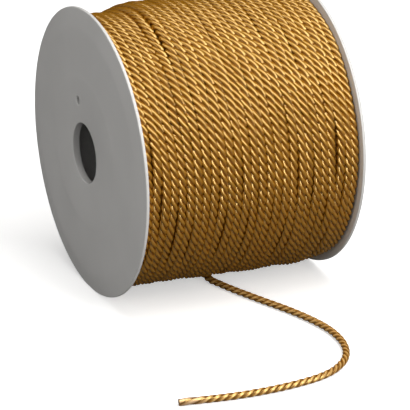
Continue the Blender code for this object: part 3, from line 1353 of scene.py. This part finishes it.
def make_under_layer(sizes, finish):
    """The next layer down, seen in the gaps, with its turns between those of the top layer."""
    turns = sizes.turns_across - 1
    gone = np.arange(turns * UNDER_RINGS_PER_TURN + 1) / UNDER_RINGS_PER_TURN
    angle = gone * math.tau
    x = -WINDING_END + turn_pitch(sizes) * (1.0 + np.minimum(gone, turns - 1))
    radius = wound_radius(x, angle) - sizes.diameter / 2 - UNDER_DEPTH * sizes.diameter
    path = around_spool(x, radius, angle)
    line = cord_line(path, from_axis(path), run_lengths(path) / sizes.lay_length)
    values = cord_sizes(sizes, sizes.diameter, UNDER_SIDES_PER_STRAND)
    return cord_piece("wound_turns_under", line, values, finish)


def make_core(sizes, finish):
    """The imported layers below, as one ring that closes the view between the turns."""
    places = np.linspace(-WINDING_END, WINDING_END, 2 * sizes.turns_across + 1)
    outside = wound_radius(places, math.pi / 2) - CORE_DEPTH * sizes.diameter
    inside = BARREL_RADIUS + CORE_CLEARANCE
    section = [*zip(outside, places), (inside, WINDING_END), (inside, -WINDING_END)]
    core = turned_piece("wound_core", section, BARREL_SEGMENTS, finish)
    smooth_over(core, SPOOL_CREASE)
    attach(core, BODY)
    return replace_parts(core, "winding")


def loose_path(last_turn, sizes):
    """The loose end's path, from where it leaves the last turn to the cut."""
    height = sizes.loose_diameter / 2 / MM
    floor_route = [(x, y, height) for x, y in LOOSE_END_ROUTE]
    route = np.vstack((last_turn[-1:], scaled(DROP_ROUTE), scaled(floor_route)))
    return smooth_route(route, sizes.loose_lay_length / LOOSE_RINGS_PER_LAY)


def make_loose_end(sizes, finish):
    """The loose end: the last turn leaves the underside and lies on the floor to its cut."""
    last_turn, last_laid = top_layer(sizes)[1]
    already_run = run_lengths(last_turn)[-1]
    path = loose_path(last_turn, sizes)
    run = run_lengths(path)
    worn = eased((run - (run[-1] - WORN_LENGTH)) / WORN_FADE)
    # The free share also sets the painted highlight along the strands' crests
    free = eased(run / FREE_AFTER)
    rate = 1.0 - (1.0 - WORN_TWIST) * worn
    steps = np.diff(run) * (rate[1:] + rate[:-1]) / 2
    laid = last_laid[-1] + np.concatenate(([0.0], np.cumsum(steps))) / sizes.loose_lay_length
    line = cord_line(
        path,
        np.broadcast_to((0.0, 0.0, -1.0), path.shape),
        laid,
        run=run + already_run,
        girth=1.0 + (sizes.diameter / sizes.loose_diameter - 1.0) * (1.0 - free),
        pressed=PRESSED_BELOW * (1.0 - free),
        rounded=LOOSE_ROUNDED * free + (WORN_ROUNDED - LOOSE_ROUNDED) * worn,
        free=free,
        worn=worn,
    )
    values = cord_sizes(sizes, sizes.loose_diameter, LOOSE_SIDES_PER_STRAND)
    loose = cord_piece("loose_cord", line, values, finish)
    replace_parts(loose, "loose_end")
    return loose


def soft_light(name, place, size, power):
    """A soft rectangular light that faces the middle of the object."""
    lamp = bpy.data.lights.new(name, "AREA")
    lamp.shape = "RECTANGLE"
    lamp.size, lamp.size_y = size
    lamp.energy = power
    lamp.color = LIGHT_COLOR
    made = add_object(name, lamp)
    made.location = place
    direction = Vector((0.0, 0.0, AXIS_HEIGHT)) - Vector(place)
    made.rotation_euler = direction.to_track_quat("-Z", "Y").to_euler()
    made.visible_camera = False


def make_sky(strength, gloss):
    """Even pale light from all round, strongest overhead, little of it in glossy surfaces."""
    world = bpy.data.worlds.new("studio_sky")
    world.use_nodes = True
    tree = world.node_tree
    backdrop = tree.nodes["Background"]
    where = add_node(tree, "ShaderNodeTexCoord").outputs["Generated"]
    parts = add_node(tree, "ShaderNodeSeparateXYZ", {"Vector": where}).outputs
    above = ranged(tree, parts["Z"], SKY_RISE)
    bright = mixed_color(tree, ranged(tree, parts["X"], SKY_ACROSS), SKY_LEFT, SKY_RIGHT)
    tree.links.new(mixed_color(tree, above, SKY_BELOW, bright), backdrop.inputs["Color"])
    rays = add_node(tree, "ShaderNodeLightPath")
    less = maths(tree, "MULTIPLY", rays.outputs["Is Glossy Ray"], strength * (1.0 - gloss))
    tree.links.new(maths(tree, "SUBTRACT", strength, less), backdrop.inputs["Strength"])
    bpy.context.scene.world = world


def make_floor(color, returned, glow):
    """The plain pale floor. It gives back only a share of its light to the object."""
    bpy.ops.mesh.primitive_plane_add(size=FLOOR_SIZE, location=(0.0, 0.0, FLOOR_LEVEL))
    floor = bpy.context.object
    floor.name = "floor"
    made, tree, shader = new_material("pale_floor", FLOOR_FINISH)
    mask = patch_mask(tree, FLOOR_PATCHES)
    shown = mixed_color(tree, mask, opaque(color), opaque(color, AGED_FLOOR))
    seen = add_node(tree, "ShaderNodeLightPath").outputs["Is Camera Ray"]
    base = mixed_color(tree, seen, opaque(color, returned), shown)
    tree.links.new(base, shader.inputs["Base Color"])
    tree.links.new(shown, shader.inputs["Emission Color"])
    tree.links.new(maths(tree, "MULTIPLY", seen, glow), shader.inputs["Emission Strength"])
    floor.data.materials.append(made)


def make_camera():
    """The camera at the photograph's angle."""
    lens = bpy.data.cameras.new("camera")
    lens.lens = CAMERA_LENS
    lens.sensor_width = CAMERA_SENSOR
    lens.clip_end = CAMERA_REACH
    camera = add_object("camera", lens)
    camera.location = CAMERA_PLACE
    camera.rotation_euler = (math.pi / 2 - CAMERA_PITCH, 0.0, -CAMERA_YAW)
    bpy.context.scene.camera = camera


class SATINCORD_OT_stage(bpy.types.Operator):
    """Adds the camera, the pale floor and the soft light."""

    bl_idname = "satin_cord.add_stage"
    bl_label = "Add Stage"

    def execute(self, context):
        settings = context.scene.cord_stage
        make_camera()
        make_floor(settings.floor_color, settings.floor_return, settings.floor_glow)
        make_sky(settings.sky_strength, settings.sky_gloss)
        for name, place, size in LIGHTS:
            soft_light(name + "_light", place, size, getattr(settings, name + "_power"))
        context.scene.view_settings.view_transform = "Standard"
        return {"FINISHED"}


class SATINCORD_OT_loose_end(bpy.types.Operator):
    """Adds the cord's loose end, from the underside of the winding to its cut."""

    bl_idname = "satin_cord.add_loose_end"
    bl_label = "Add Loose End"

    def execute(self, context):
        sizes = context.scene.satin_cord
        make_loose_end(sizes, gold_satin(sizes))
        return {"FINISHED"}


class SATINCORD_OT_winding(bpy.types.Operator):
    """Adds the wound cord: the top layer, the layer under it and the core."""

    bl_idname = "satin_cord.add_winding"
    bl_label = "Add Winding"

    def execute(self, context):
        sizes = context.scene.satin_cord
        finish = gold_satin(sizes)
        make_top_layer(sizes, finish)
        make_under_layer(sizes, finish)
        make_core(sizes, finish)
        return {"FINISHED"}


class SATINCORD_OT_spool(bpy.types.Operator):
    """Adds the spool's two flanges and its barrel."""

    bl_idname = "satin_cord.add_spool"
    bl_label = "Add Spool"

    def execute(self, context):
        spool = context.scene.cord_spool
        finish = moulded_plastic(spool)
        cutter = driver_hole_cutter(spool)
        for side in (-1, 1):
            make_flange(side, cutter, finish)
        make_barrel(spool, finish)
        bpy.data.objects.remove(cutter, do_unlink=True)
        return {"FINISHED"}


class SATINCORD_PT_panel(bpy.types.Panel):
    """Lists the sizes and the pieces in the sidebar."""

    bl_idname = "SATINCORD_PT_panel"
    bl_label = "Satin Cord"
    bl_space_type = "VIEW_3D"
    bl_region_type = "UI"
    bl_category = "Satin Cord"

    def draw(self, context):
        for place in SETTINGS:
            group = getattr(context.scene, place)
            box = self.layout.box()
            for name in group.bl_rna.properties.keys():
                if name not in ("rna_type", "name"):
                    box.prop(group, name)
        for operator in PIECES:
            self.layout.operator(operator.bl_idname)


PIECES = (
    SATINCORD_OT_stage,
    SATINCORD_OT_loose_end,
    SATINCORD_OT_winding,
    SATINCORD_OT_spool,
)
SETTINGS = {
    "satin_cord": SatinCordSettings,
    "cord_spool": SpoolSettings,
    "cord_stage": StageSettings,
}
CLASSES = (*SETTINGS.values(), *PIECES, SATINCORD_PT_panel)


def register():
    """Adds the settings, the operators and the panel."""
    for made in CLASSES:
        bpy.utils.register_class(made)
    for place, group in SETTINGS.items():
        setattr(bpy.types.Scene, place, PointerProperty(type=group))


def unregister():
    """Takes them out again."""
    for place in SETTINGS:
        delattr(bpy.types.Scene, place)
    for made in reversed(CLASSES):
        bpy.utils.unregister_class(made)


def main():
    """Builds every piece in order."""
    register()
    bpy.ops.satin_cord.add_stage()
    bpy.ops.satin_cord.add_loose_end()
    bpy.ops.satin_cord.add_winding()
    bpy.ops.satin_cord.add_spool()


if __name__ == "__main__":
    main()
